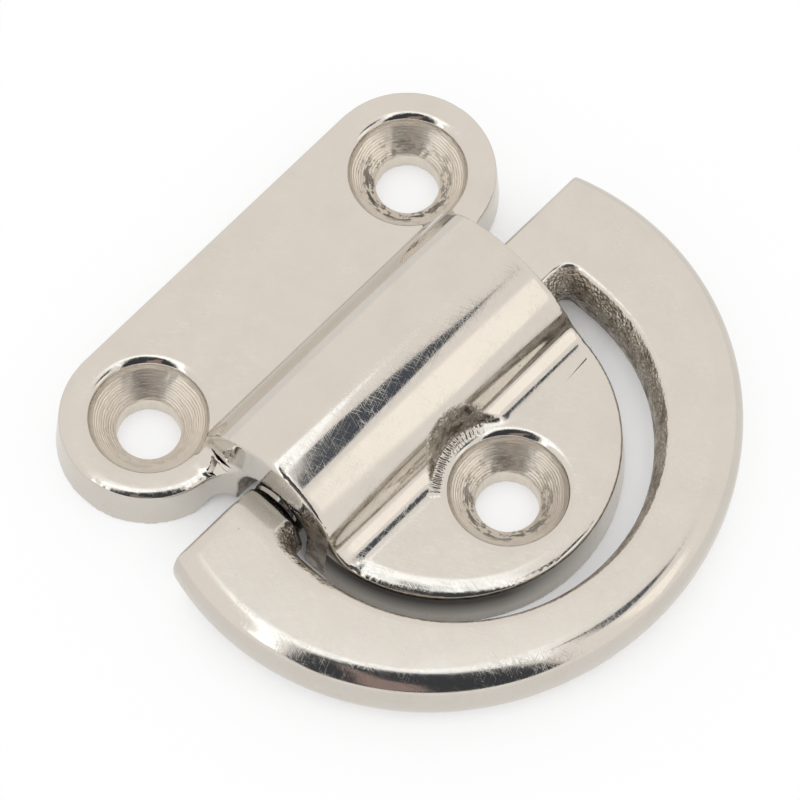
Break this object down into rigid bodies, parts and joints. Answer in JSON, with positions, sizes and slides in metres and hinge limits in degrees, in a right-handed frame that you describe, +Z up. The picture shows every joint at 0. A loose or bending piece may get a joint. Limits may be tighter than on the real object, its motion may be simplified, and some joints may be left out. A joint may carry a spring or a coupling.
{
  "type": "folding pad eye",
  "caption": "Folding pad eye: a cast base with a hooded hinge and countersunk screw holes holds a D ring that swings up from the deck.",
  "frame": {"origin": "on the deck face, midway between the two rear screw holes", "axes": "+X along the hinge, -Y from the rear pad towards the folded ring, +Z up from the deck"},
  "size_m": [0.0634, 0.0622, 0.0135],
  "materials": {
    "base_metal": "mirror-polished stainless casting with fine scratches",
    "ring_metal": "mirror-polished stainless casting with a satin inner edge"
  },
  "bodies": {
    "base": {"base_casting": "base_metal"},
    "ring": {"d_ring": "ring_metal"}
  },
  "joints": [
    {"name": "ring_hinge", "type": "hinge", "parent": "base", "child": "ring", "pos_m": [0, -0.0162, 0.0041], "axis": [-1, 0, 0], "range_deg": [0, 125]}
  ]
}
